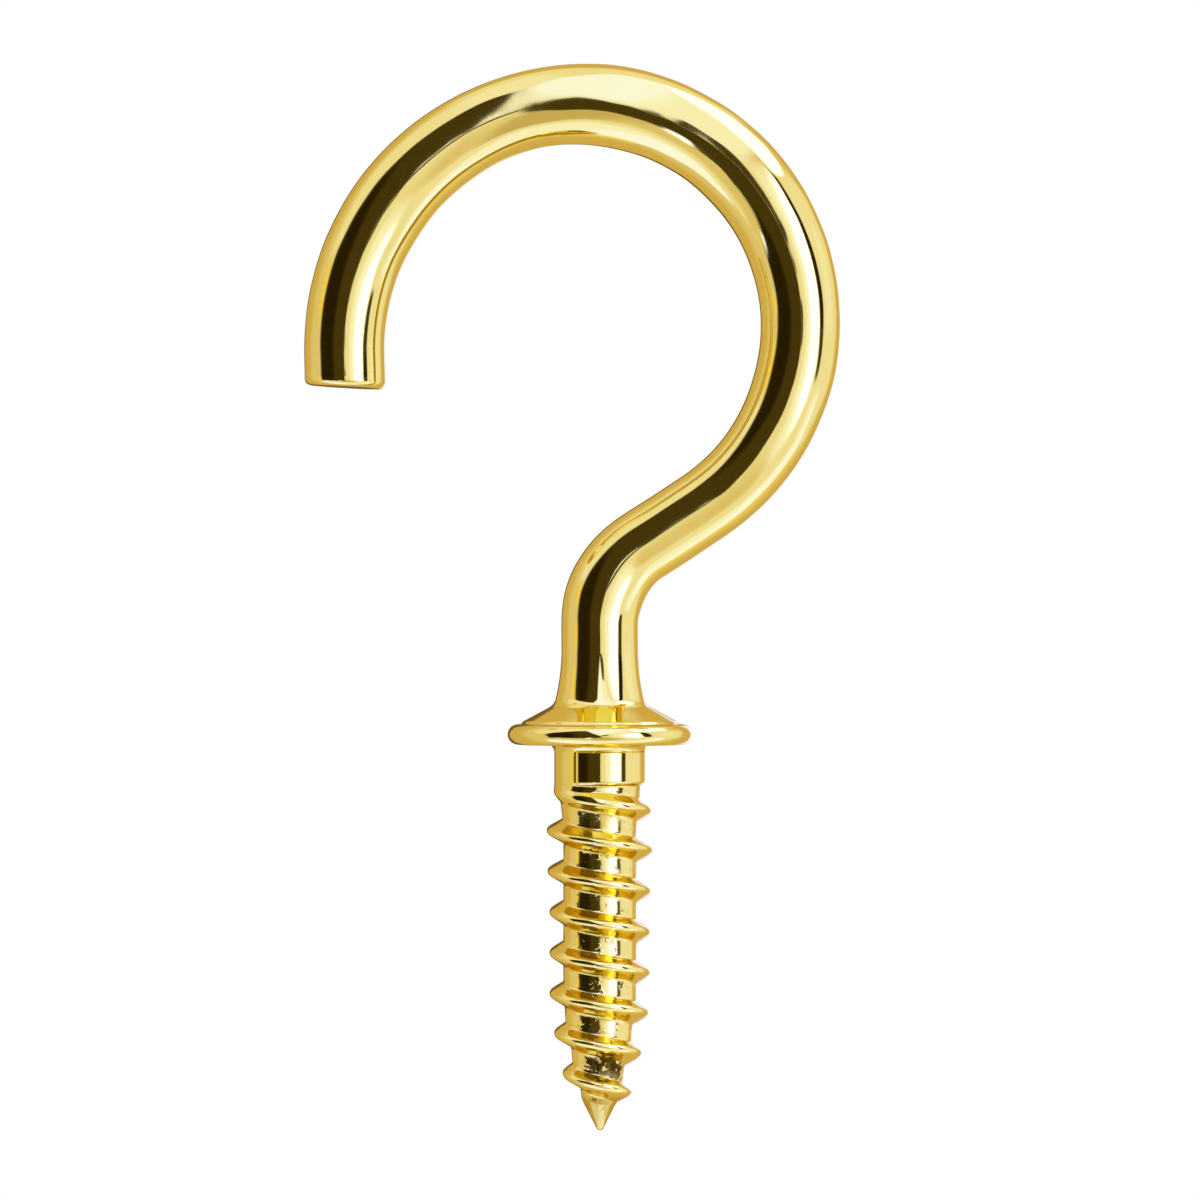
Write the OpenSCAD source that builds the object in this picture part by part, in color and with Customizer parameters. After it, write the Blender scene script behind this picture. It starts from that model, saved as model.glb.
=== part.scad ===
// Cup hook: a bent wire hook, an upset collar and a pointed wood screw thread, all one piece of brass.
// Millimetres. The origin is the middle of the collar's seat, the screw points down -Z,
// and the hook stands up +Z in the XZ plane with its open end towards -X.

/* [Wire] */
// Diameter of the wire along the bow and the tip
wire_d = 1.45; // [1.3:0.01:1.6]
// Diameter of the neck, just above the collar
neck_d = 1.4; // [1.3:0.01:1.5]
// Diameter of the slant between neck and bow, which the bends draw thinner
slant_d = 1.33; // [1.2:0.01:1.5]

/* [Neck] */
// Height above the seat at which the neck starts to bend
neck_l = 2.14; // [1.9:0.01:4]
// Centre-line radius of the neck's bend
neck_r = 1.66; // [1.2:0.01:2.2]
// Angle that the neck's bend turns away from the screw's axis
neck_turn = 57; // [48:1:62]

/* [Bow] */
// Centre-line radius of the bow
bow_r = 3.93; // [3.6:0.01:5]
// Distance of the bow's centre from the screw's axis, towards the open end
bow_offset = 0.345; // [0:0.005:0.6]
// Angle that the bow turns at its own radius before it opens
bow_turn = 171; // [140:1:185]
// Centre-line radius of the opening stretch that leads to the tip
open_r = 4.41; // [4:0.01:6]
// Length of the straight tip
tip_l = 0.58; // [0.3:0.01:1.5]
// Angle that the tip leans in from straight down
tip_lean = 1.4; // [-4:0.1:8]
// Radius that rounds the edge of the cut end
tip_edge_r = 0.11; // [0.04:0.01:0.2]

/* [Collar] */
// Diameter of the collar
collar_d = 3.3; // [3:0.01:4.2]
// Thickness of the collar's rounded rim
rim_t = 0.36; // [0.2:0.01:0.5]
// Width of the flat ledge between the rim's round edge and the cone
ledge_w = 0.1; // [0.04:0.01:0.2]
// Rise of the cone from the rim to the foot of the neck
cone_h = 0.38; // [0.3:0.01:0.5]
// Diameter of the neck where it meets the cone
foot_d = 1.6; // [1.55:0.01:1.8]
// Height over which the neck swells from the wire to its foot
flare_h = 0.88; // [0.6:0.01:1.1]

/* [Plain shank] */
// Diameter of the plain shank under the collar
shank_d = 1.63; // [1.5:0.01:1.75]
// Length of the plain shank under the collar
shank_l = 0.65; // [0.5:0.01:1.2]
// Length of the shoulder that narrows from the shank to the thread's core
shoulder_l = 0.3; // [0.2:0.01:0.4]
// Radius of the fillet between the seat and the shank
seat_fillet_r = 0.14; // [0.06:0.01:0.2]

/* [Screw] */
// Length of the screw, from the seat to the point
screw_l = 6.89; // [5.5:0.01:9]
// Diameter over the thread's crests
thread_d = 1.86; // [1.7:0.01:2.1]
// Diameter of the thread's core
core_d = 1.3; // [1.15:0.01:1.4]
// Distance from one turn of the thread to the next
pitch = 0.727; // [0.6:0.001:0.9]
// Distance of the first full crest below the shank, on the side of the closed bow
first_crest = 0.52; // [0.45:0.01:0.7]
// Lead of the thread: 1 is right-hand, -1 is left-hand
thread_hand = -1; // [-1, 1]
// Length of the tapered end of the core
taper_l = 2.4; // [1.6:0.01:3]
// Length of the cone at the point
point_l = 0.47; // [0.3:0.01:0.8]
// Diameter of the core where the point's cone starts
point_d = 0.58; // [0.4:0.01:0.8]
// Height of the last full crest above the point's cone
last_crest = 0.18; // [0.1:0.01:0.4]

/* [Hidden] */
$fn = 96;

brass = [0.86, 0.7, 0.3];
wire_r = wire_d / 2;
neck_wire_r = neck_d / 2;
slant_r = slant_d / 2;
rim_r = rim_t / 2;
shank_r = shank_d / 2;

// Hook outline in the XZ plane, as pairs of x and height. Angles turn from +X towards +Z.
neck_centre = [neck_r, neck_l];
neck_end = neck_centre + neck_r * [-cos(neck_turn), sin(neck_turn)];
slant_l = (bow_r * cos(neck_turn) - bow_offset - neck_end[0]) / sin(neck_turn);
bow_start = neck_end + slant_l * [sin(neck_turn), cos(neck_turn)];
bow_centre = bow_start + bow_r * [-cos(neck_turn), sin(neck_turn)];
bow_end_angle = bow_turn - neck_turn;
open_centre = bow_centre + (bow_r - open_r) * [cos(bow_end_angle), sin(bow_end_angle)];
tip_angle = 180 + tip_lean;
tip_heading = tip_angle + 90;
open_turn = tip_angle - bow_end_angle;
tip_start = open_centre + open_r * [cos(tip_angle), sin(tip_angle)];
wire_sides = 24;
ring_turn = 6;
// Turn of the bow over which the wire fills out from the slant's diameter to its own
fill_turn = 60;
edge_steps = 3;

// Collar, neck foot and shank. The wire's lower end is buried in the collar,
// and the flare's top stands a hair outside the wire that it closes on.
wire_base_z = rim_t / 2;
flare_top_r = neck_wire_r + 0.01;
foot_r = foot_d / 2;
foot_h = rim_t + cone_h;
cone_r = collar_d / 2 - rim_r - ledge_w;
swell = foot_r - flare_top_r;
flare_r = (flare_h ^ 2 + swell ^ 2) / (2 * swell);
flare_turn = asin(flare_h / flare_r);
arc_steps = 8;

// Thread. Each turn is a few rows that follow the helix: [height from the crest, share of the ridge's height]
core_r = core_d / 2;
thread_r = thread_d / 2;
point_r = point_d / 2;
crest_half = 0.07 * pitch;
flank_above = 0.22 * pitch;
flank_below = 0.29 * pitch;
RIDGE = [
    [flank_above, 0],
    [crest_half, 0.8],
    [0, 1],
    [-crest_half, 0.8],
    [-flank_below, 0],
    [-(flank_below + pitch - flank_above) / 2, 0],
];
turn_steps = 32;
// Radius of the point's blunt tip, and how much the taper swells before it narrows
blunt_r = 0.03;
taper_bulge = 1.4;
taper_z = -screw_l + taper_l;
point_z = -screw_l + point_l;
// The core thickens towards the shank, and its top end is buried in it
root_swell = 0.05;
swell_turns = 2;
buried_z = -shank_l / 2;
// The ridge grows out of the shoulder in one turn and runs out in a third of a turn
crest_z = -shank_l - first_crest;
ridge_end_z = point_z + last_crest;
fade_in_l = pitch;
fade_out_l = 0.35 * pitch;
// Rows start this many turns above the first full crest and go on past the point
spare_turns = 2;
turns = ceil((screw_l + crest_z) / pitch) + spare_turns + 1;
last_row = turns * len(RIDGE);

// Points of an arc about a centre, from one angle to another
function arc(centre, radius, from, to) = [
    for (i = [0:arc_steps])
    let (angle = from + (to - from) * i / arc_steps)
    centre + radius * [cos(angle), sin(angle)]
];

// Share of the way from one value to another, kept between 0 and 1
function share(value, from, to) = min(1, max(0, (value - from) / (to - from)));

// Radius of the core at a height: the point's cone, a swelling taper, then nearly straight up to the shank
function core_radius(z) =
    z < point_z ? blunt_r + (point_r - blunt_r) * share(z, -screw_l, point_z)
    : z < taper_z ? core_r - (core_r - point_r) * share(z, taper_z, point_z) ^ taper_bulge
    : core_r + root_swell * share(z, crest_z - swell_turns * pitch, crest_z);

// Height of the full ridge over the core. Near the shank the crest keeps its radius where the core thickens.
function ridge_height(core) = min(thread_r - core_r, thread_r - core);

// Share of the ridge's full height at a height: it grows out of the shoulder and runs out before the point
function ridge_share(z) =
    share(z, crest_z + fade_in_l, crest_z) * share(z, ridge_end_z - fade_out_l, ridge_end_z);

// One point of the thread's surface: a row of the helix, at one of the steps round the turn
function thread_point(row, step) =
    let (profile = RIDGE[row % len(RIDGE)])
    let (turn = floor(row / len(RIDGE)) + step / turn_steps)
    let (z = max(-screw_l, min(buried_z, crest_z + (spare_turns - turn) * pitch + profile[0])))
    let (core = core_radius(z))
    let (radius = core + ridge_height(core) * ridge_share(z) * profile[1])
    let (angle = -thread_hand * 360 * step / turn_steps)
    [radius * cos(angle), radius * sin(angle), z];

// Index of a thread point. The step after the last one is the first step, one whole turn further down.
function thread_index(row, step) =
    step < turn_steps
        ? step * (last_row + 1) + min(row, last_row)
        : min(row + len(RIDGE), last_row);

// A face of the thread's surface, turned so that it looks outwards for either hand
function outward(face) = thread_hand > 0 ? face : [for (i = [len(face) - 1:-1:0]) face[i]];

// Rings of the wire are [place, heading, radius]. A bend's rings lie on an arc about its centre,
// and the wire's radius goes from its first value to its last over the stated turn.
function bend_rings(centre, radius, from, to, first_r, last_r, change_turn) =
    let (steps = ceil(abs(to - from) / ring_turn))
    let (quarter = to > from ? 90 : -90)
    [
        for (i = [0:steps])
        let (angle = from + (to - from) * i / steps)
        let (ring_r = first_r + (last_r - first_r) * share(abs(angle - from), 0, change_turn))
        [centre + radius * [cos(angle), sin(angle)], angle + quarter, ring_r]
    ];

// A list of rings without its last one, where the next stretch starts with it
function without_last(rings) = [for (i = [0:len(rings) - 2]) rings[i]];

// The rings of the straight tip's end, where the cut edge is rounded
function cut_end_rings() = [
    for (i = [0:edge_steps])
    let (angle = 90 * i / edge_steps)
    let (reach = tip_l - tip_edge_r * (1 - sin(angle)))
    [
        tip_start + reach * [cos(tip_heading), sin(tip_heading)],
        tip_heading,
        wire_r - tip_edge_r * (1 - cos(angle))
    ]
];

// The points round one ring of the wire
function ring_points(ring) = [
    for (side = [0:wire_sides - 1])
    let (angle = 360 * side / wire_sides)
    let (inward = ring[2] * cos(angle))
    [
        ring[0][0] - inward * sin(ring[1]),
        -ring[2] * sin(angle),
        ring[0][1] + inward * cos(ring[1])
    ]
];

// The bent wire: neck, bend, slant, bow, opening stretch and straight tip, swept in one skin
module bent_wire() {
    rings = concat(
        [[[0, wire_base_z], 90, neck_wire_r]],
        bend_rings(neck_centre, neck_r, 180, 180 - neck_turn, neck_wire_r, slant_r, neck_turn),
        without_last(bend_rings(bow_centre, bow_r, -neck_turn, bow_end_angle, slant_r, wire_r, fill_turn)),
        bend_rings(open_centre, open_r, bow_end_angle, tip_angle, wire_r, wire_r, open_turn),
        cut_end_rings()
    );
    last = (len(rings) - 1) * wire_sides;
    points = [for (ring = rings) each ring_points(ring)];
    skin = [
        for (start = [0:wire_sides:last - 1])
        for (side = [0:wire_sides - 1])
        let (a = start + side)
        let (b = start + (side + 1) % wire_sides)
        each [[a, a + wire_sides, b + wire_sides], [a, b + wire_sides, b]]
    ];
    ends = [
        [for (side = [0:wire_sides - 1]) side],
        [for (side = [wire_sides - 1:-1:0]) last + side]
    ];
    color(brass)
    polyhedron(points, concat(skin, ends));
}

// The neck's foot, the collar and the plain shank, turned about the screw's axis
module collar_and_shank() {
    shoulder_z = -shank_l - shoulder_l;
    flare_top_z = foot_h + flare_h;
    fillet_centre = [shank_r + seat_fillet_r, -seat_fillet_r];
    rim_centre = [collar_d / 2 - rim_r, rim_r];
    flare_centre = [flare_top_r + flare_r, flare_top_z];
    color(brass)
    rotate_extrude() polygon(concat(
        [[0, flare_top_z], [0, shoulder_z], [core_r, shoulder_z], [shank_r, -shank_l]],
        arc(fillet_centre, seat_fillet_r, 180, 90),
        arc(rim_centre, rim_r, -90, 90),
        [[cone_r, rim_t]],
        arc(flare_centre, flare_r, 180 + flare_turn, 180)
    ));
}

// The threaded end: core, ridge, taper and point in one surface
module screw_thread() {
    top_centre = turn_steps * (last_row + 1);
    points = concat(
        [for (step = [0:turn_steps - 1]) for (row = [0:last_row]) thread_point(row, step)],
        [[0, 0, buried_z], [0, 0, -screw_l]]
    );
    wall = [
        for (step = [0:turn_steps - 1])
        for (row = [0:last_row - 1])
        let (a = thread_index(row, step))
        let (b = thread_index(row + 1, step))
        let (c = thread_index(row + 1, step + 1))
        let (d = thread_index(row, step + 1))
        each [outward([a, b, c]), outward([a, c, d])]
    ];
    caps = [
        for (step = [0:turn_steps - 1])
        each [
            outward([top_centre, thread_index(0, step), thread_index(0, step + 1)]),
            outward([top_centre + 1, thread_index(last_row, step + 1), thread_index(last_row, step)])
        ]
    ];
    color(brass)
    polyhedron(points, concat(wall, caps));
}

module cup_hook() {
    bent_wire();
    collar_and_shank();
    screw_thread();
}

cup_hook();
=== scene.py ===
# Cup hook in polished brass: a hook of bent wire, an upset collar and a pointed wood screw, all one piece.
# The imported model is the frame. A finer skin with the same sizes takes the place of its node.
import math

import bmesh
import bpy
from mathutils import Matrix, Vector


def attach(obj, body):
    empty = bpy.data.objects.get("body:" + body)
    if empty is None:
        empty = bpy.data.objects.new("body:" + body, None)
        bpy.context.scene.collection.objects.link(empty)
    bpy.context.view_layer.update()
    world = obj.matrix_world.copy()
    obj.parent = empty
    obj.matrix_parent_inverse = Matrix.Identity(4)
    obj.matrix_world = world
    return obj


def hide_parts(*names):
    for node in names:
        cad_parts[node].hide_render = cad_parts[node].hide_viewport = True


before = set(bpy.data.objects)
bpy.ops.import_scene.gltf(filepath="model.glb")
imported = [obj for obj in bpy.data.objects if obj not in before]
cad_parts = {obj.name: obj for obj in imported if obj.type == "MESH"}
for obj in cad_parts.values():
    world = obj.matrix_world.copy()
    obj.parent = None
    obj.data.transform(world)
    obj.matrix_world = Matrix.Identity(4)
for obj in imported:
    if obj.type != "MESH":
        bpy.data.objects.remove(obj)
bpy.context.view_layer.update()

# Sizes are in millimetres until the finished mesh is scaled to metres
MM = 0.001

# Steps round the wire and round the screw, which share one ring where they meet
SIDES = 96

# Wire: centre line and diameters of the hook
NECK_R = 1.66
NECK_START_Z = 2.14
NECK_TURN = 57
BOW_R = 3.93
BOW_OFFSET = 0.345
BOW_END = 114
OPEN_R = 4.41
TIP_ANGLE = 181.4
TIP_L = 0.58
TIP_EDGE_R = 0.12
CUT_SLANT = 4.8
NECK_D = 1.376
BEND_D = 1.4
BEND_AT = 20
SLANT_D = 1.33
# The bends and the rolling leave the wire a little thicker or thinner: [angle on the bow, diameter]
BOW_DIAMETERS = [(-57, 1.33), (0, 1.43), (45, 1.49), (75, 1.475), (105, 1.4), (150, 1.464), (181.4, 1.446)]

# Collar and the foot of the neck
COLLAR_R = 1.65
RIM_R = 0.18
LEDGE_R = 1.395
CONE_TOP_R = 0.937
CONE_TOP_Z = 0.652
CONE_SLOPE = 1.83
FLARE_TOP_Z = 1.7
FLARE_END_Z = 0.812
FLARE_R = 3.67
SEAT_FILLET_R = 0.14
# The soft corner from the ledge to the cone: how far outside the ledge's radius it starts and turns, how far
# inside it ends, and how far above the cone's foot
LEDGE_START = 0.05
LEDGE_TURN = 0.012
LEDGE_END = 0.02
LEDGE_RISE = 0.012

# Plain shank and screw
SHANK_R = 0.815
JOIN_Z = -0.5
SHOULDER_TOP_Z = -0.66
SHOULDER_END_Z = -0.74
SCREW_L = 6.89
PITCH = 0.727
FIRST_CREST_Z = -1.17
CORE_R = 0.65
ROOT_SWELL = 0.075
ROOT_SWELL_END_Z = -1.6
ROOT_SWELL_TOP_Z = -0.7
TAPER_Z = -4.49
POINT_Z = -6.42
POINT_R = 0.29
BLUNT_R = 0.04
BLUNT_L = 0.04
POINT_SLOPE = 0.5
TAPER_BULGE = 1.4


def new_node(tree, kind, inputs=None, **settings):
    """Adds a node. Each input gets a value, or a link where a socket is given."""
    node = tree.nodes.new(kind)
    for name, value in settings.items():
        setattr(node, name, value)
    for key, value in (inputs or {}).items():
        if isinstance(value, bpy.types.NodeSocket):
            tree.links.new(value, node.inputs[key])
        else:
            node.inputs[key].default_value = value
    return node


def calc(tree, operation, *values):
    """One step of arithmetic on numbers or sockets."""
    node = new_node(tree, "ShaderNodeMath", dict(enumerate(values)), operation=operation)
    return node.outputs[0]


def share(tree, value, start, end, shape="SMOOTHSTEP"):
    """How far a value has come on its way from start to end, from 0 to 1."""
    limits = {0: value, 1: start, 2: end, 3: 0.0, 4: 1.0}
    return new_node(tree, "ShaderNodeMapRange", limits, interpolation_type=shape).outputs[0]


def between(tree, factor, low, high):
    """The value that lies that share of the way from low to high."""
    return calc(tree, "MULTIPLY_ADD", calc(tree, "SUBTRACT", high, low), factor, low)


def product(tree, *values):
    """All the values multiplied."""
    result = values[0]
    for value in values[1:]:
        result = calc(tree, "MULTIPLY", result, value)
    return result


def band(tree, value, rise, fall):
    """1 where a value is past its rise and short of its fall, each given as [none yet, fully there]."""
    return product(tree, share(tree, value, *rise), share(tree, value, *fall))


def blended(tree, factor, first, second, blend="MIX"):
    """The first colour with that share of the second one in it."""
    inputs = {"Factor": factor, "A": first, "B": second}
    return new_node(tree, "ShaderNodeMix", inputs, data_type="RGBA", blend_type=blend).outputs["Result"]


def outline_curve(tree, value, points):
    """A drawn outline through the given points, as a curve from 0 to 1."""
    node = new_node(tree, "ShaderNodeFloatCurve", {"Value": value})
    outline = node.mapping.curves[0]
    outline.points[0].location = points[0]
    outline.points[1].location = points[-1]
    for place in points[1:-1]:
        outline.points.new(*place)
    for point in outline.points:
        point.handle_type = "AUTO_CLAMPED"
    node.mapping.update()
    return node.outputs[0]


def size_tree(name, sizes):
    """A Geometry Nodes tree with a named input for each size, and one for the material."""
    tree = bpy.data.node_groups.new(name, "GeometryNodeTree")
    tree.interface.new_socket("Geometry", in_out="INPUT", socket_type="NodeSocketGeometry")
    for size in sizes:
        kind = "NodeSocketInt" if isinstance(sizes[size], int) else "NodeSocketFloat"
        tree.interface.new_socket(size, in_out="INPUT", socket_type=kind)
    tree.interface.new_socket("Finish", in_out="INPUT", socket_type="NodeSocketMaterial")
    tree.interface.new_socket("Geometry", in_out="OUTPUT", socket_type="NodeSocketGeometry")
    entry = tree.nodes.new("NodeGroupInput")
    return tree, entry.outputs


def close_tree(tree, geometry, finish):
    """Ends a tree in Realize Instances and Set Material."""
    real = new_node(tree, "GeometryNodeRealizeInstances", {"Geometry": geometry})
    painted = new_node(tree, "GeometryNodeSetMaterial", {"Geometry": real.outputs[0], "Material": finish})
    new_node(tree, "NodeGroupOutput", {"Geometry": painted.outputs[0]})


def grown_mesh(name, data, tree, values):
    """Runs a tree on an object's data with these values, and returns the result as a plain mesh."""
    holder = bpy.data.objects.new(name, data)
    bpy.context.scene.collection.objects.link(holder)
    modifier = holder.modifiers.new(name, "NODES")
    modifier.node_group = tree
    for item in tree.interface.items_tree:
        if item.in_out == "INPUT" and item.name in values:
            modifier[item.identifier] = values[item.name]
    holder.update_tag()
    evaluated = holder.evaluated_get(bpy.context.evaluated_depsgraph_get())
    mesh = bpy.data.meshes.new_from_object(evaluated)
    holder.modifiers.remove(modifier)
    bpy.data.objects.remove(holder)
    return mesh


# Brass: colours, then roughness
BRASS = (0.92, 0.755, 0.2, 1)
BRASS_DRIFTED = (0.9, 0.735, 0.18, 1)
# Painted darker reflection on the point
POINT_PAINTED_REFLECTION = (0.6, 0.38, 0.03, 1)
# Near-black painted dark reflection in the last groove
PAINTED_DARK_REFLECTION = (0.08, 0.043, 0.003, 1)
EDGE_TINT = (0.95, 0.83, 0.52, 1)
BEST_POLISH = 0.045
LEAST_POLISH = 0.085
CORE_DULLNESS = 0.06
# How much painted darker reflection the point gets beside its painted highlight streak, and how much less on
# it
POINT_REFLECTION_PAINT = 0.8
HIGHLIGHT_STREAK_LESS_PAINT = -0.6
# Depths of what is only shading, in metres
FINE_GRAIN = 3e-7
PIT_DEPTH = 8e-6
DIE_LINE_DEPTH = 1.4e-5
# Where the shading lies, in millimetres, each limit as [none yet, fully there]
SCREW_BELOW = (-0.7, -0.85)
CORE_WITHIN = (0.78, 0.7)
POINT_BELOW = (-6.2, -6.36)
# Sides of the painted highlight streak down the front of the point
HIGHLIGHT_STREAK_SIDES = [(-0.06, 0.0), (0.1, 0.04)]
DIE_LINE_ENDS = [(-0.72, -0.7), (-0.1, -0.14)]
DIE_LINE_EDGE = (-0.43, -0.385)
# Where the painted dark reflection lies in the last groove
DARK_REFLECTION_ENDS = [(-5.38, -5.46), (-6.06, -5.98)]
DARK_REFLECTION_SIDES = [(0.05, 0.12), (0.54, 0.47)]
DARK_REFLECTION_RAGGEDNESS = 0.3
DARK_REFLECTION_EDGE = 0.02
# The painted dark reflection ends where the ridge begins, at a radius that narrows with the core
DARK_REFLECTION_LIMIT = 1.625
DARK_REFLECTION_LIMIT_SLOPE = 0.2


def polished_brass():
    """Bright yellow brass with a soft polish, a faint drift in colour, and what the dies left on it, with a
    painted darker reflection and a painted highlight streak on the point and a painted dark reflection in
    the last groove.
    """
    material = bpy.data.materials.new("polished_brass")
    material.use_nodes = True
    tree = material.node_tree
    tree.nodes.clear()
    place = new_node(tree, "ShaderNodeTexCoord").outputs["Object"]
    to_mm = (1 / MM, 1 / MM, 1 / MM)
    in_mm = new_node(tree, "ShaderNodeMapping", {"Vector": place, "Scale": to_mm}).outputs[0]
    across, back, height = new_node(tree, "ShaderNodeSeparateXYZ", {"Vector": in_mm}).outputs
    off_axis = calc(
        tree, "SQRT", calc(tree, "ADD", calc(tree, "POWER", across, 2), calc(tree, "POWER", back, 2))
    )
    in_front = calc(tree, "LESS_THAN", back, 0)
    on_core = product(tree, share(tree, height, *SCREW_BELOW), share(tree, off_axis, *CORE_WITHIN))

    def grain(scale, detail):
        """Noise with about that many patches per millimetre."""
        noise = {"Vector": in_mm, "Scale": scale, "Detail": detail, "Roughness": 0.5}
        return new_node(tree, "ShaderNodeTexNoise", noise).outputs["Fac"]

    def raised(amount, distance, strength, below=None):
        """Shading as if this amount stood up from the skin, over the shading below it."""
        inputs = {"Height": amount, "Distance": distance, "Strength": strength}
        if below is not None:
            inputs["Normal"] = below
        return new_node(tree, "ShaderNodeBump", inputs).outputs[0]

    drift = share(tree, grain(0.5, 2), 0.35, 0.65)
    colour = blended(tree, drift, BRASS, BRASS_DRIFTED)
    # Painted darker reflection: the point is a deeper gold, but for a painted highlight streak down its
    # front
    painted_highlight_streak = product(tree, band(tree, across, *HIGHLIGHT_STREAK_SIDES), in_front)
    point_reflection_share = calc(tree, "MULTIPLY_ADD", painted_highlight_streak, HIGHLIGHT_STREAK_LESS_PAINT, POINT_REFLECTION_PAINT)
    colour = blended(tree, product(tree, share(tree, height, *POINT_BELOW), point_reflection_share), colour, POINT_PAINTED_REFLECTION)
    # Painted dark reflection, near black, on the front of the last groove
    limit = calc(tree, "MULTIPLY_ADD", height, DARK_REFLECTION_LIMIT_SLOPE, DARK_REFLECTION_LIMIT)
    off_ridge = share(tree, calc(tree, "SUBTRACT", off_axis, limit), DARK_REFLECTION_EDGE, -DARK_REFLECTION_EDGE)
    last_groove = band(tree, height, *DARK_REFLECTION_ENDS)
    ragged = calc(tree, "MULTIPLY_ADD", grain(6, 2), DARK_REFLECTION_RAGGEDNESS, across)
    beside = band(tree, ragged, *DARK_REFLECTION_SIDES)
    dark_reflection_patches = share(tree, grain(8, 1), 0.66, 0.58)
    dark_reflection_mask = product(tree, off_ridge, last_groove, beside, in_front, dark_reflection_patches)
    colour = blended(tree, dark_reflection_mask, colour, PAINTED_DARK_REFLECTION)

    polish = between(tree, grain(5, 3), BEST_POLISH, LEAST_POLISH)
    roughness = calc(tree, "MULTIPLY_ADD", on_core, CORE_DULLNESS, polish)
    pits = product(tree, share(tree, grain(7, 1), 0.6, 0.72), on_core, 0.6)
    # The two dies left a line down the front of the shank
    on_shank = band(tree, height, *DIE_LINE_ENDS)
    die_line = product(tree, on_shank, in_front, share(tree, across, *DIE_LINE_EDGE))
    fine = raised(grain(9, 2), FINE_GRAIN, 0.4)
    pitted = raised(pits, PIT_DEPTH, 1.0, fine)
    skin = raised(die_line, DIE_LINE_DEPTH, 1.0, pitted)
    metal = new_node(
        tree,
        "ShaderNodeBsdfPrincipled",
        {
            "Base Color": colour,
            "Roughness": roughness,
            "Metallic": 1.0,
            "Specular Tint": EDGE_TINT,
            "Normal": skin,
        },
    )
    new_node(tree, "ShaderNodeOutputMaterial", {"Surface": metal.outputs[0]})
    return material


# Hook: the path of the wire's centre and its radius there, and how many steps each stretch has
FILLET_STEPS = 12
RIM_STEPS = 30
LEDGE_STEPS = 6
CONE_STEPS = 8
CONE_TOP_STEPS = 14
FLARE_STEPS = 24
STRAIGHT_STEPS = 8
NECK_STEPS = 32
SLANT_STEPS = 10
BOW_STEPS = 115
OPEN_STEPS = 45
TIP_STEPS = 6
TIP_EDGE_STEPS = 10
# Rings on the plain shank and on the seat, between their rounded ends
SHANK_RINGS_Z = (JOIN_Z, -0.4, -0.3, -0.2)
SEAT_RINGS_R = (1.1, 1.3)
# Points of the collar are never nearer in height than this, so that each ring has a direction
HAIR = 0.0002
# How far up the tip the slanted cut is felt
CUT_REACH = 0.5
# The stretch over which the unevenness comes in
EASE_IN = 0.3
# Points of wire and screw this near to each other are one
JOIN_DISTANCE = 0.00005


def turned(centre, radius, angle):
    """The point that far from a centre, at an angle in degrees."""
    turn = math.radians(angle)
    return centre[0] + radius * math.cos(turn), centre[1] + radius * math.sin(turn)


def eased(stations, place):
    """The value at a place between stations, with a smooth change from one to the next."""
    for (start, first), (end, second) in zip(stations, stations[1:]):
        if place <= end:
            step = max(0, (place - start) / (end - start))
            return first + (second - first) * step * step * (3 - 2 * step)
    return stations[-1][1]


def rounded_corner(start, corner, end, steps):
    """Points of a soft corner between two straight stretches."""
    points = []
    for i in range(steps + 1):
        t = i / steps
        points.append(
            tuple((1 - t) ** 2 * a + 2 * t * (1 - t) * b + t * t * c for a, b, c in zip(start, corner, end))
        )
    return points


def collar_profile():
    """Radius and height of the turned part, from the shank up over the collar to the top of the flare."""
    fillet = (SHANK_R + SEAT_FILLET_R, -SEAT_FILLET_R)
    rim = (COLLAR_R - RIM_R, RIM_R)
    points = [(SHANK_R, z) for z in SHANK_RINGS_Z]
    points += [turned(fillet, SEAT_FILLET_R, 180 - 90 * i / FILLET_STEPS) for i in range(FILLET_STEPS + 1)]
    points += [(radius, 0.0) for radius in SEAT_RINGS_R]
    points += [turned(rim, RIM_R, -90 + 180 * i / RIM_STEPS) for i in range(RIM_STEPS + 1)]
    ledge_z = 2 * RIM_R
    cone_foot_z = CONE_TOP_Z - (LEDGE_R - CONE_TOP_R) / CONE_SLOPE
    ledge = (LEDGE_R + LEDGE_START, ledge_z)
    foot = (LEDGE_R - LEDGE_END, cone_foot_z + LEDGE_RISE)
    points += rounded_corner(ledge, (LEDGE_R + LEDGE_TURN, ledge_z), foot, LEDGE_STEPS)
    for i in range(1, CONE_STEPS):
        t = i / CONE_STEPS
        points.append((LEDGE_R + (CONE_TOP_R - LEDGE_R) * t, cone_foot_z + (CONE_TOP_Z - cone_foot_z) * t))
    # The soft corner between cone and flare turns about the point where their lines would meet
    flare_r = NECK_D / 2 + (FLARE_TOP_Z - FLARE_END_Z) ** 2 / (2 * FLARE_R)
    slope = (FLARE_TOP_Z - FLARE_END_Z) / FLARE_R
    corner_z = (CONE_TOP_R + CONE_SLOPE * CONE_TOP_Z - flare_r - slope * FLARE_END_Z) / (CONE_SLOPE - slope)
    corner = (flare_r - slope * (corner_z - FLARE_END_Z), corner_z)
    points += rounded_corner((CONE_TOP_R, CONE_TOP_Z), corner, (flare_r, FLARE_END_Z), CONE_TOP_STEPS)
    for i in range(1, FLARE_STEPS + 1):
        z = FLARE_END_Z + (FLARE_TOP_Z - FLARE_END_Z) * i / FLARE_STEPS
        points.append((NECK_D / 2 + (FLARE_TOP_Z - z) ** 2 / (2 * FLARE_R), z))
    return points


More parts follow.
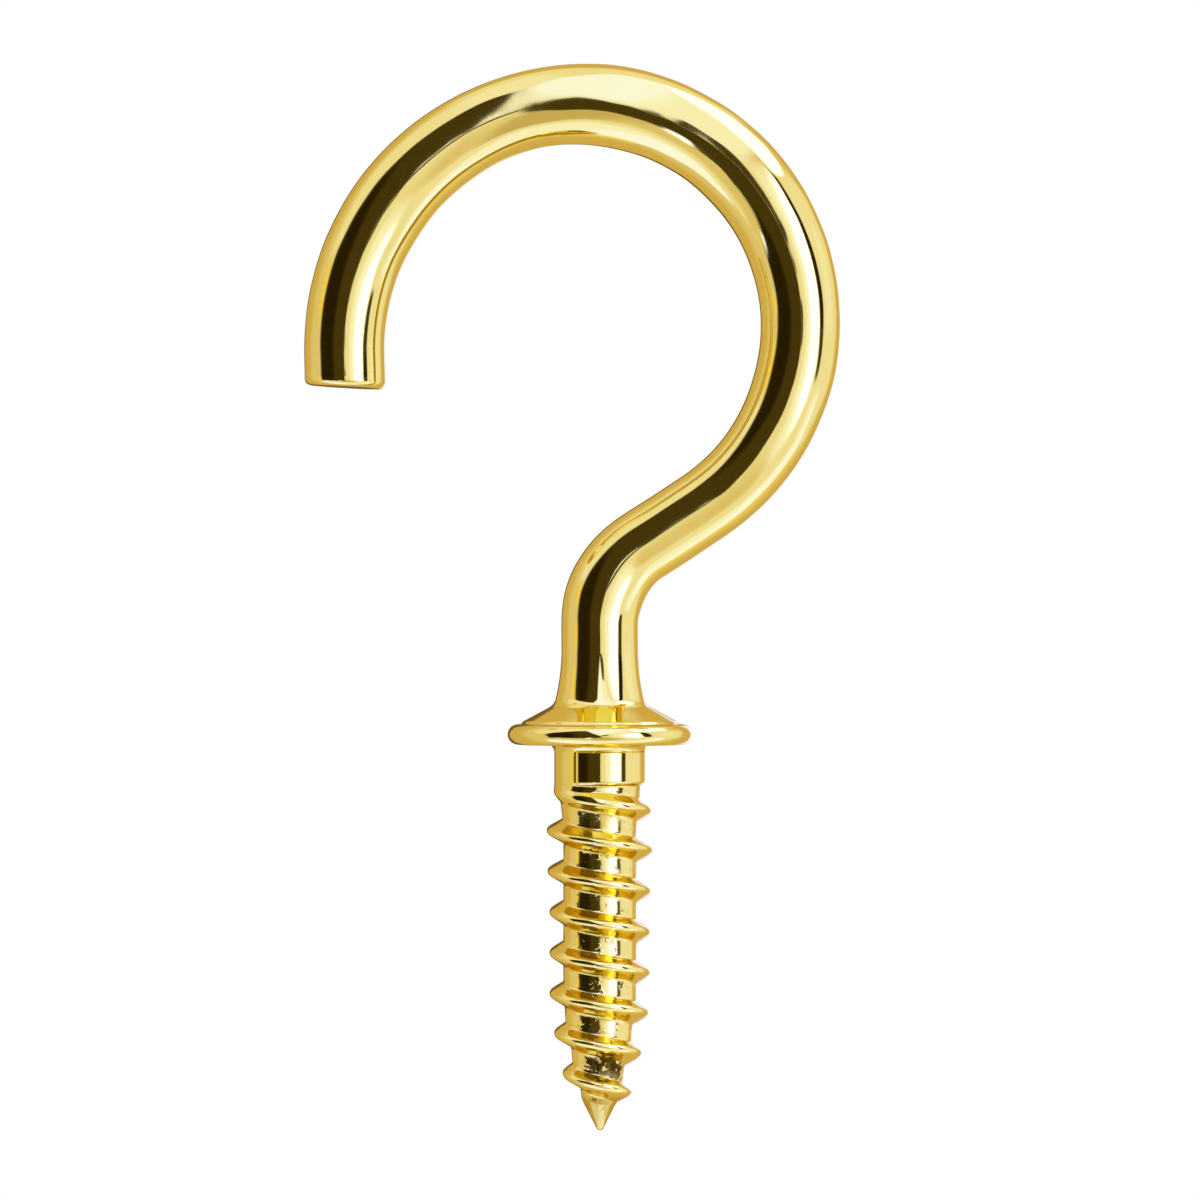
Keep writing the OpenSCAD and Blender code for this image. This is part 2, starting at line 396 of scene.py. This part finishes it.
def wire_path():
    """Points of the path as x, height and radius, from the shank to the cut end of the tip."""
    path = []
    for radius, z in collar_profile():
        if path and z < path[-1][1] + HAIR:
            z = path[-1][1] + HAIR
        path.append((0.0, z, radius))
    for i in range(1, STRAIGHT_STEPS):
        path.append((0.0, FLARE_TOP_Z + (NECK_START_Z - FLARE_TOP_Z) * i / STRAIGHT_STEPS, NECK_D / 2))
    # Neck and slant
    neck = (NECK_R, NECK_START_Z)
    bend_d = [(0, NECK_D), (BEND_AT, BEND_D), (NECK_TURN, SLANT_D)]
    for i in range(NECK_STEPS + 1):
        angle = NECK_TURN * i / NECK_STEPS
        path.append((*turned(neck, NECK_R, 180 - angle), eased(bend_d, angle) / 2))
    lean = math.radians(NECK_TURN)
    end = turned(neck, NECK_R, 180 - NECK_TURN)
    slant_l = (BOW_R * math.cos(lean) - BOW_OFFSET - end[0]) / math.sin(lean)
    start = (end[0] + slant_l * math.sin(lean), end[1] + slant_l * math.cos(lean))
    for i in range(1, SLANT_STEPS):
        t = i / SLANT_STEPS
        path.append((end[0] + (start[0] - end[0]) * t, end[1] + (start[1] - end[1]) * t, SLANT_D / 2))
    # Bow, its wider last stretch, and the straight tip with its rounded edge
    bow = (start[0] - BOW_R * math.cos(lean), start[1] + BOW_R * math.sin(lean))
    for i in range(BOW_STEPS):
        angle = -NECK_TURN + (BOW_END + NECK_TURN) * i / BOW_STEPS
        path.append((*turned(bow, BOW_R, angle), eased(BOW_DIAMETERS, angle) / 2))
    opening = turned(bow, BOW_R - OPEN_R, BOW_END)
    for i in range(OPEN_STEPS + 1):
        angle = BOW_END + (TIP_ANGLE - BOW_END) * i / OPEN_STEPS
        path.append((*turned(opening, OPEN_R, angle), eased(BOW_DIAMETERS, angle) / 2))
    tip = path[-1]
    ends = [((TIP_L - TIP_EDGE_R) * i / TIP_STEPS, 0.0) for i in range(1, TIP_STEPS)]
    for i in range(TIP_EDGE_STEPS + 1):
        turn = math.radians(90 * i / TIP_EDGE_STEPS)
        ends.append((TIP_L - TIP_EDGE_R * (1 - math.sin(turn)), TIP_EDGE_R * (1 - math.cos(turn))))
    for reach, less in ends:
        path.append((*turned(tip, reach, TIP_ANGLE + 90), tip[2] - less))
    return path


def wire_curve():
    """The path as a curve with its radius at each point."""
    curve = bpy.data.curves.new("wire", "CURVE")
    curve.dimensions = "3D"
    spline = curve.splines.new("POLY")
    path = wire_path()
    spline.points.add(len(path) - 1)
    for point, (x, z, radius) in zip(spline.points, path):
        point.co = (x, 0, z, 1)
        point.radius = radius
    return curve


def swept_wire_tree(sizes):
    """Sweeps a ring along a path at the path's radius, and leaves the faint unevenness of bent wire."""
    tree, size = size_tree("swept_wire", sizes)
    ring = new_node(tree, "GeometryNodeCurvePrimitiveCircle", {"Resolution": size["Sides"], "Radius": 1.0})
    radius = new_node(tree, "GeometryNodeInputRadius").outputs[0]
    swept = new_node(
        tree,
        "GeometryNodeCurveToMesh",
        {"Curve": size["Geometry"], "Profile Curve": ring.outputs["Curve"], "Scale": radius},
    )
    place = new_node(tree, "GeometryNodeInputPosition").outputs[0]
    normal = new_node(tree, "GeometryNodeInputNormal").outputs[0]
    waves = new_node(
        tree, "ShaderNodeTexNoise", {"Vector": place, "Scale": size["Waves Per Millimetre"], "Detail": 1.0}
    )
    height = new_node(tree, "ShaderNodeSeparateXYZ", {"Vector": place}).outputs[2]
    uneven_from = calc(tree, "ADD", size["Even Up To"], EASE_IN)
    above = share(tree, height, size["Even Up To"], uneven_from)
    # The noise swings half its range to either side
    push = product(tree, calc(tree, "SUBTRACT", waves.outputs["Fac"], 0.5), 2, size["Unevenness"], above)
    offset = new_node(tree, "ShaderNodeVectorMath", {0: normal, "Scale": push}, operation="SCALE")
    uneven = {"Geometry": swept.outputs[0], "Offset": offset.outputs[0]}
    moved = new_node(tree, "GeometryNodeSetPosition", uneven)
    close_tree(tree, moved.outputs[0], size["Finish"])
    return tree


# Screw: one skin whose rows follow the helix. Phases are shares of one turn, from its top.
CREST_PHASE = 0.45
GROOVE_PHASE = 0.95
# How far the taper goes down in steps, from 0 for a plain cone to 1 for level grooves
TAPER_STEP = 0.6
TURNS_ABOVE = 2
ROWS_PER_TURN = 40
POINT_BLEND = 0.02
SHOULDER_BLEND = 0.03
# The first groove opens over this part of the way round
OPENS_FROM = 0.56
OPENS_TO = 0.86
# Rolling marks begin below the shoulder
MARKS_TOP_Z = -0.76
MARKS_FULL_Z = -0.9
# One turn of the thread from top to bottom: [share of the pitch, share of the ridge's height]
RIDGE_OUTLINE = [
    (0, 0),
    (0.12, 0),
    (0.165, 0.025),
    (0.2, 0.11),
    (0.25, 0.34),
    (0.3, 0.58),
    (0.355, 0.84),
    (0.385, 0.935),
    (0.415, 0.985),
    (0.45, 1),
    (0.485, 0.985),
    (0.515, 0.935),
    (0.545, 0.84),
    (0.605, 0.57),
    (0.66, 0.32),
    (0.71, 0.11),
    (0.745, 0.025),
    (0.79, 0),
    (1, 0),
]
# The ridge's height along the screw, from one turn above the first full crest: [turns, millimetres]
RIDGE_HEIGHTS = [
    (0, 0),
    (0.2, 0.03),
    (0.32, 0.092),
    (0.5, 0.102),
    (1, 0.232),
    (1.5, 0.3),
    (2.4, 0.29),
    (3.3, 0.252),
    (6, 0.25),
    (7.9, 0.235),
    (8.35, 0),
    (10, 0),
]


def screw_thread_tree(sizes):
    """A wood screw's end with a left-hand lead: a grid wound into a helix and closed along its seam."""
    tree, size = size_tree("screw_thread", sizes)
    turns = size["Turns"]
    pitch = size["Pitch"]
    rows = calc(tree, "MULTIPLY_ADD", turns, ROWS_PER_TURN, 1)
    columns = calc(tree, "ADD", size["Sides"], 1)
    counts = {"Size X": 1.0, "Size Y": 1.0, "Vertices X": rows, "Vertices Y": columns}
    grid = new_node(tree, "GeometryNodeMeshGrid", counts)
    position = new_node(tree, "GeometryNodeInputPosition").outputs[0]
    spot = new_node(tree, "ShaderNodeSeparateXYZ", {0: position})
    down = calc(tree, "MULTIPLY", calc(tree, "ADD", spot.outputs[0], 0.5), turns)
    way_round = calc(tree, "ADD", spot.outputs[1], 0.5)

    # Height of each row, stopped at the ring that the wire starts from and at the point
    top = calc(tree, "MULTIPLY_ADD", pitch, CREST_PHASE + TURNS_ABOVE, size["First Crest"])
    turned_down = calc(tree, "ADD", down, way_round)
    helix = calc(tree, "MULTIPLY_ADD", calc(tree, "MULTIPLY", pitch, -1), turned_down, top)
    point_end = calc(tree, "MULTIPLY", size["Screw Length"], -1)
    height = calc(tree, "MINIMUM", calc(tree, "MAXIMUM", helix, point_end), size["Join Height"])

    # Core: nearly straight, thicker towards the shank, then a swelling taper and the point's cone
    from_groove = calc(tree, "SUBTRACT", down, GROOVE_PHASE)
    stepped = calc(tree, "SINE", calc(tree, "MULTIPLY", from_groove, math.tau))
    step = calc(tree, "MULTIPLY", pitch, TAPER_STEP / math.tau)
    eased_height = calc(tree, "MULTIPLY_ADD", stepped, step, height)
    taper = calc(tree, "POWER", share(tree, eased_height, TAPER_Z, POINT_Z, "LINEAR"), TAPER_BULGE)
    root = share(tree, height, ROOT_SWELL_END_Z, ROOT_SWELL_TOP_Z)
    straight = calc(tree, "MULTIPLY_ADD", root, ROOT_SWELL, size["Core Radius"])
    narrowing = calc(tree, "SUBTRACT", POINT_R, size["Core Radius"])
    tapered = calc(tree, "MULTIPLY_ADD", taper, narrowing, straight)
    cone = calc(tree, "MULTIPLY_ADD", calc(tree, "SUBTRACT", height, point_end), POINT_SLOPE, BLUNT_R)
    core = calc(tree, "SMOOTH_MIN", tapered, cone, POINT_BLEND)
    blunt_top = calc(tree, "ADD", point_end, BLUNT_L)
    blunt = calc(tree, "SUBTRACT", 1, share(tree, height, point_end, blunt_top, "LINEAR"))
    rounding = calc(tree, "SQRT", calc(tree, "SUBTRACT", 1, calc(tree, "POWER", blunt, 2)))

    # Ridge
    phase = calc(tree, "FRACT", down)
    outline = outline_curve(tree, phase, RIDGE_OUTLINE)
    along = calc(tree, "DIVIDE", calc(tree, "SUBTRACT", size["First Crest"], height), pitch)
    tallest = max(value for _, value in RIDGE_HEIGHTS)
    span = RIDGE_HEIGHTS[-1][0]
    heights = [(place / span, value / tallest) for place, value in RIDGE_HEIGHTS]
    swell = outline_curve(tree, calc(tree, "DIVIDE", calc(tree, "ADD", along, 1), span), heights)
    threaded = calc(tree, "ADD", core, product(tree, outline, swell, tallest))

    # Shank's shoulder. The groove over the first ridge opens once the ridge has come round to the front.
    from_crest = calc(tree, "FLOOR", calc(tree, "SUBTRACT", down, CREST_PHASE))
    opening = calc(tree, "ADD", share(tree, way_round, OPENS_FROM, OPENS_TO), from_crest)
    open_share = new_node(tree, "ShaderNodeClamp", {"Value": opening, "Min": 0.0, "Max": 1.0}).outputs[0]
    to_shank = share(tree, height, SHOULDER_END_Z, SHOULDER_TOP_Z)
    shoulder = between(tree, to_shank, core, size["Shank Radius"])
    plain = between(tree, open_share, size["Shank Radius"], shoulder)
    skin = calc(tree, "SMOOTH_MAX", threaded, plain, SHOULDER_BLEND)

    angle = calc(tree, "MULTIPLY", way_round, math.tau)

    def at_radius(radius):
        """The place at that distance from the screw's axis."""
        return new_node(
            tree,
            "ShaderNodeCombineXYZ",
            {
                0: calc(tree, "MULTIPLY", radius, calc(tree, "COSINE", angle)),
                1: calc(tree, "MULTIPLY", radius, calc(tree, "SINE", angle)),
                2: height,
            },
        ).outputs[0]

    # Rolling marks on the core, and the rounded end
    marks = new_node(
        tree,
        "ShaderNodeTexNoise",
        {"Vector": at_radius(skin), "Scale": size["Marks Per Millimetre"], "Detail": 2.0},
    )
    bare = calc(tree, "SUBTRACT", 1, outline)
    depth = product(tree, size["Mark Depth"], bare, share(tree, height, MARKS_TOP_Z, MARKS_FULL_Z), 2)
    rolled = calc(tree, "MULTIPLY_ADD", calc(tree, "SUBTRACT", marks.outputs["Fac"], 0.5), depth, skin)
    ended = calc(tree, "MULTIPLY", rolled, rounding)
    wound = new_node(
        tree, "GeometryNodeSetPosition", {"Geometry": grid.outputs["Mesh"], "Position": at_radius(ended)}
    )
    seam = {"Geometry": wound.outputs[0], "Distance": size["Seam Distance"]}
    closed = new_node(tree, "GeometryNodeMergeByDistance", seam)
    close_tree(tree, closed.outputs[0], size["Finish"])
    return tree


def slant_cut_end(skin):
    """The wire was cut a little out of square, which the tip's last stretch takes up."""
    tip_x = -BOW_OFFSET - OPEN_R + (OPEN_R - BOW_R) * math.cos(math.radians(180 - BOW_END))
    low = min(v.co.z for v in skin.verts if v.co.x < -BOW_R)
    for vertex in skin.verts:
        if vertex.co.x < -BOW_R + CUT_REACH and vertex.co.z < low + CUT_REACH:
            step = 1 - (vertex.co.z - low) / CUT_REACH
            vertex.co.z -= (vertex.co.x - tip_x) * math.tan(math.radians(CUT_SLANT)) * step * step


def hook_mesh(finish):
    """The wire and the screw joined into one closed skin."""
    wire_sizes = {"Sides": SIDES, "Unevenness": 0.014, "Waves Per Millimetre": 0.8, "Even Up To": 0.45}
    screw_sizes = {
        "Sides": SIDES,
        "Turns": 11,
        "Pitch": PITCH,
        "First Crest": FIRST_CREST_Z,
        "Screw Length": SCREW_L,
        "Join Height": JOIN_Z,
        "Core Radius": CORE_R,
        "Shank Radius": SHANK_R,
        "Mark Depth": 0.006,
        "Marks Per Millimetre": 3.5,
        "Seam Distance": 0.00002,
    }
    wire_tree = swept_wire_tree(wire_sizes)
    screw_tree = screw_thread_tree(screw_sizes)
    parts = [
        grown_mesh("wire", wire_curve(), wire_tree, {**wire_sizes, "Finish": finish}),
        grown_mesh("screw", bpy.data.meshes.new("screw"), screw_tree, {**screw_sizes, "Finish": finish}),
    ]
    skin = bmesh.new()
    for part in parts:
        skin.from_mesh(part)
    bmesh.ops.remove_doubles(skin, verts=skin.verts, dist=JOIN_DISTANCE)
    slant_cut_end(skin)
    bmesh.ops.holes_fill(skin, edges=[edge for edge in skin.edges if edge.is_boundary], sides=0)
    bmesh.ops.recalc_face_normals(skin, faces=skin.faces)
    for face in skin.faces:
        face.smooth = True
        face.material_index = 0
    mesh = bpy.data.meshes.new("cup_hook_brass")
    skin.to_mesh(mesh)
    skin.free()
    mesh.transform(Matrix.Scale(MM, 4))
    mesh.materials.clear()
    mesh.materials.append(finish)
    return mesh


def build_hook():
    """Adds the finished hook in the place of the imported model's node."""
    hook = bpy.data.objects.new("cup_hook_brass", hook_mesh(polished_brass()))
    bpy.context.scene.collection.objects.link(hook)
    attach(hook, "root")
    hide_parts("cup_hook")


build_hook()


# Studio. The metal mirrors cards and flags of a few colours, which are bluer than they look in it.
BUFF = (0.8, 0.71, 0.68)
STRAW = (0.95, 0.96, 1.35)
PALE = (1.0, 1.06, 1.8)
CREAM = (1.05, 1.17, 2.3)
BRIGHT = (1.08, 1.27, 3.3)
WHITE = (1.7, 1.9, 5.0)
YELLOW = (1.0, 0.8, 0.22)
AMBER = (0.6, 0.32, 0.05)
OLIVE = (0.62, 0.53, 0.43)
BROWN = (0.062, 0.046, 0.014)
UMBER = (0.2, 0.145, 0.055)
SHADE = (0.021, 0.014, 0.002)
BEHIND = (0.69, 0.55, 0.36)
# Metal that is seen in metal: its tint, and a share of honey. Ray Depth is 2 for light that was mirrored
# once, and 3 for light that was mirrored twice.
SECOND_TINT = (0.9, 0.84, 0.3, 1)
HONEY = (0.9, 0.72, 0.25, 1)
SECOND_FILL = 0.2
MIRRORED_TWICE = 2.5
# Light on the floor from all round and from the lamp, which together make it as bright as its colour
SKY_LEVEL = 0.7
LAMP_LEVEL = 0.3
# A card is [colour, softness of its edge, corners]. Its corners are in degrees to the right of and above the
# side that the hook faces, and a later card lies over the earlier ones.
CARDS = [
    (BUFF, 22, [(-112, 0), (-104, 60), (-60, 110), (20, 122), (85, 104), (124, 40), (122, -30), (80, -88),
                (0, -108), (-70, -90)]),
    (STRAW, 14, [(-54, 98), (-58, 112), (-30, 122), (40, 124), (82, 110), (60, 92), (0, 90)]),
    (STRAW, 16, [(-86, 34), (-82, 66), (-60, 90), (-30, 104), (0, 110), (0, 0)]),
    (PALE, 14, [(-34, 62), (-46, 92), (-24, 104), (-8, 96), (-12, 62)]),
    (STRAW, 12, [(40, 0), (54, 44), (84, 70), (112, 66), (126, 20), (118, -30), (90, -54), (60, -48)]),
    (PALE, 10, [(76, 0), (80, 30), (92, 44), (104, 30), (104, 0)]),
    (YELLOW, 3, [(-80, -1), (-68, -1), (-68, -10), (-80, -12)]),
    (YELLOW, 10, [(-84, 28), (-74, 30), (-74, 12), (-84, 10)]),
    (YELLOW, 3, [(-30, -94), (30, -93), (26, -99), (0, -104), (-26, -101)]),
    (YELLOW, 3, [(56, -74), (84, -46), (91, -46), (80, -66), (64, -82)]),
    (YELLOW, 3, [(24, -88), (56, -72), (64, -78), (46, -92), (26, -99)]),
    (AMBER, 3, [(3, -94), (16, -94), (18, -99), (4, -101)]),
    (CREAM, 8, [(-67, -50), (-20, -30), (40, -20), (85, -22), (85, -44), (72, -62), (56, -75), (32, -87),
                (0, -96), (-20, -94), (-40, -87), (-56, -72)]),
    (STRAW, 10, [(-70, -10), (-68, -46), (-46, -50), (0, -58), (40, -52), (68, -34), (66, -10)]),
    (BUFF, 12, [(-70, -10), (-68, -38), (-40, -42), (-14, -45), (0, -46), (0, -10)]),
    (BRIGHT, 4, [(-67, -50), (-40, -51), (-26, -60), (-4, -84), (0, -96), (-15, -95), (-32, -91), (-50, -79),
                 (-62, -65)]),
    (BRIGHT, 8, [(58, -46), (84, -28), (84, -44), (72, -60), (54, -74), (36, -80)]),
    (OLIVE, 7, [(0, -6), (6, -12), (20, -30), (26, -41), (20, -47), (5, -50), (-9, -46), (-10, -24)]),
    (STRAW, 8, [(-2, 0), (20, 22), (50, 44), (58, 0), (50, -20), (10, -14)]),
    (BUFF, 10, [(4, -4), (30, -22), (34, -34), (22, -38), (6, -12)]),
    (CREAM, 7, [(14, -5), (16, 13), (25, 24), (38, 34), (49, 41), (54, 12), (54, -10), (46, -26),
                (32, -22)]),
    (WHITE, 6, [(26, 12), (38, 31), (49, 41), (51.5, 25), (54, 8), (54, -10), (48, -22), (38, -20),
                (28, -6)]),
    (CREAM, 6, [(0, 4), (-14.5, 60), (-13, 68), (-8, 80), (0, 90), (10, 98), (32, 100), (46, 48), (16, 18)]),
    (BRIGHT, 5, [(-2, 10), (-14.5, 58), (-13, 68), (-8, 80), (0, 89), (10, 97), (29, 98), (30, 80),
                 (6, 24)]),
    (WHITE, 2.5, [(31, 98), (31.5, 80), (35, 67), (40, 57), (47, 48), (51, 44), (65, 51), (76, 60), (82, 71),
                  (81, 82), (68, 95), (50, 100)]),
    (SHADE, 2, [(47, 42.5), (53.5, 42.5), (60, 32), (50.5, 29)]),
    (SHADE, 2, [(50.5, 30), (60, 33), (65, 20), (53.2, 18)]),
    (SHADE, 2, [(53.2, 19), (65, 21), (68, 8), (67, 1), (55.5, 1)]),
    (BROWN, 3, [(55.5, 2), (67.5, 2), (68, -6), (66, -14), (58, -13)]),
    (BROWN, 7, [(-71, 0), (-72, 18), (-67, 30), (-58, 41), (-46, 48), (-28, 58), (-10, 30), (-10, -14)]),
    (BROWN, 1.2, [(-69, 2), (-69, 18), (-66, 28), (-57, 38), (-47, 45.5), (-38, 51.5), (-26, 59),
                  (-15.5, 59.5), (-11, 40), (-7.5, 24), (-7, -18.5), (-11, -19.5), (-30, -22),
                  (-66, -20.5)]),
    (BROWN, 1, [(-8, 27), (-0.7, 4.8), (0.6, 0.4), (2.2, -7), (1.8, -13), (-1, -19), (-8, -22), (-30, -24),
                (-30, 20)]),
    (SHADE, 12, [(-70, 2), (-68, 20), (-56, 37), (-40, 44), (-30, 12), (-32, -22), (-66, -21)]),
    (BROWN, 1, [(0.9, 0.9), (-0.3, 2.6), (0.2, 4.6), (2.9, 10), (7, 16.5), (11.5, 17), (11, 11), (8.5, 5.5),
                (4.2, 2)]),
    (BROWN, 2, [(-26, -19), (-18, -18), (-20, -27)]),
    (WHITE, 2, [(-10, -18), (-14, -19), (-19, -26), (-17, -28), (-12, -24)]),
    (BRIGHT, 2, [(-60, -21), (-48, -21), (-50, -24), (-57, -24)]),
]

# The cards behind the hook have their corners in degrees from straight behind
BACK_CARDS = [
    (UMBER, 5, [(-25, -16), (-25, 14), (-12, 24), (-1, 16), (2, 0), (-2, -18), (-14, -24)]),
    (BRIGHT, 5, [(5, -14), (8, 16), (17, 22), (25, 10), (24, -12), (12, -22)]),
]


def studio_world():
    """White behind the hook, and cards and flags all round it that only the metal mirrors."""
    world = bpy.data.worlds.new("studio")
    bpy.context.scene.world = world
    world.use_nodes = True
    tree = world.node_tree
    tree.nodes.clear()
    direction = new_node(tree, "ShaderNodeTexCoord").outputs["Generated"]
    axes = new_node(tree, "ShaderNodeSeparateXYZ", {0: direction}).outputs
    away = calc(tree, "DEGREES", calc(tree, "ARCCOSINE", calc(tree, "MULTIPLY", axes[1], -1)))
    flat = new_node(tree, "ShaderNodeCombineXYZ", {0: axes[0], 1: axes[2]}).outputs[0]
    heading = new_node(tree, "ShaderNodeVectorMath", {0: flat}, operation="NORMALIZE").outputs[0]

    def place_at(degrees):
        """The place that many degrees from the middle, with a 1 in z that takes up each edge's limit."""
        parts = {0: heading, 1: degrees, 2: (0, 0, 1)}
        return new_node(tree, "ShaderNodeVectorMath", parts, operation="MULTIPLY_ADD").outputs[0]

    def card(place, behind, colour, corners, soft):
        """Lays a card of one colour, with these corners and soft edges, over what is behind it."""
        edges = list(zip(corners, corners[1:] + corners[:1]))
        area = sum(a[0] * b[1] - b[0] * a[1] for a, b in edges)
        inside = None
        for a, b in edges:
            edge = Vector(b) - Vector(a)
            inward = Vector((-edge.y, edge.x)).normalized() * math.copysign(1, area)
            line = (*inward, -inward.dot(Vector(a)))
            dot = new_node(tree, "ShaderNodeVectorMath", {0: place, 1: line}, operation="DOT_PRODUCT")
            depth = dot.outputs["Value"]
            inside = depth if inside is None else calc(tree, "SMOOTH_MIN", inside, depth, soft / 2)
        return blended(tree, share(tree, inside, -soft / 2, soft / 2), behind, (*colour, 1))

    scene = (*BEHIND, 1)
    from_behind = place_at(calc(tree, "SUBTRACT", 180, away))
    for colour, soft, corners in BACK_CARDS:
        scene = card(from_behind, scene, colour, corners, soft)
    from_front = place_at(away)
    for colour, soft, corners in CARDS:
        scene = card(from_front, scene, colour, corners, soft)

    # Metal seen in metal is a deep gold, with more contrast than the cards have
    path = new_node(tree, "ShaderNodeLightPath").outputs
    contrast = blended(tree, 1.0, scene, scene, "MULTIPLY")
    gold = blended(tree, 1.0, contrast, SECOND_TINT, "MULTIPLY")
    filled = blended(tree, SECOND_FILL, gold, HONEY)
    mirrored_twice = calc(tree, "GREATER_THAN", path["Ray Depth"], MIRRORED_TWICE)
    scene = blended(tree, mirrored_twice, scene, filled)
    cards = new_node(tree, "ShaderNodeBackground", {"Color": scene, "Strength": 1.0})
    # The camera sees plain white, and the floor is lit from all round
    to_camera = path["Is Camera Ray"]
    level = between(tree, to_camera, SKY_LEVEL, 1.0)
    plain = new_node(tree, "ShaderNodeBackground", {"Color": (1, 1, 1, 1), "Strength": level})
    unmirrored = calc(tree, "ADD", to_camera, path["Is Diffuse Ray"])
    studio = new_node(
        tree, "ShaderNodeMixShader", {0: unmirrored, 1: cards.outputs[0], 2: plain.outputs[0]}
    )
    new_node(tree, "ShaderNodeOutputWorld", {"Surface": studio.outputs[0]})
    # The cards are soft and large, so bounced light alone finds them
    world.cycles.sampling_method = "NONE"


studio_world()

# Floor: pale and wide, and low enough for the hook to hang free over it. The metal doesn't mirror it.
FLOOR_Z = -60 * MM
FLOOR_SIZE = 6000 * MM
FLOOR_COLOUR = 0.95
LAMP_TILT = math.radians(7)
LAMP_ROLL = math.radians(-5)
LAMP_SPREAD = math.radians(6)


def pale_floor():
    """A matt floor that the camera sees as white where no shadow falls."""
    material = bpy.data.materials.new("floor")
    material.use_nodes = True
    tree = material.node_tree
    tree.nodes.clear()
    pale = (FLOOR_COLOUR, FLOOR_COLOUR, FLOOR_COLOUR, 1)
    matt = new_node(tree, "ShaderNodeBsdfDiffuse", {"Color": pale})
    to_camera = new_node(tree, "ShaderNodeLightPath").outputs["Is Camera Ray"]
    rest = calc(tree, "MULTIPLY", to_camera, 1 - FLOOR_COLOUR)
    glow = new_node(tree, "ShaderNodeEmission", {"Strength": rest})
    both = new_node(tree, "ShaderNodeAddShader", {0: matt.outputs[0], 1: glow.outputs[0]})
    new_node(tree, "ShaderNodeOutputMaterial", {"Surface": both.outputs[0]})
    mesh = bpy.data.meshes.new("floor")
    half = FLOOR_SIZE / 2
    corners = [(-half, -half, 0), (half, -half, 0), (half, half, 0), (-half, half, 0)]
    mesh.from_pydata(corners, [], [(0, 1, 2, 3)])
    mesh.materials.append(material)
    floor = bpy.data.objects.new("floor", mesh)
    floor.location.z = FLOOR_Z
    floor.visible_glossy = False
    bpy.context.scene.collection.objects.link(floor)


def overhead_lamp():
    """Soft light from above that gives the hook a shadow on the floor, at the same level for any tilt."""
    lamp_data = bpy.data.lights.new("overhead", "SUN")
    lamp_data.energy = LAMP_LEVEL * math.pi / (math.cos(LAMP_TILT) * math.cos(LAMP_ROLL))
    lamp_data.angle = LAMP_SPREAD
    lamp = bpy.data.objects.new("overhead", lamp_data)
    lamp.rotation_euler = (LAMP_TILT, LAMP_ROLL, 0)
    lamp.visible_glossy = False
    bpy.context.scene.collection.objects.link(lamp)


pale_floor()
overhead_lamp()


# Camera, level and square to the bow, and so far away that the frame is this wide at the hook
FRAME_WIDTH = 21.425 * MM
FRAME_CENTRE_Z = 2.58 * MM
camera_data = bpy.data.cameras.new("camera")
camera_data.lens = 200
camera_data.clip_start = 0.005
camera_data.clip_end = 10
camera = bpy.data.objects.new("camera", camera_data)
bpy.context.scene.collection.objects.link(camera)
camera.location = (0, -FRAME_WIDTH * camera_data.lens / camera_data.sensor_width, FRAME_CENTRE_Z)
camera.rotation_euler = (math.radians(90), 0, 0)
bpy.context.scene.camera = camera
bpy.context.scene.view_settings.view_transform = "Standard"
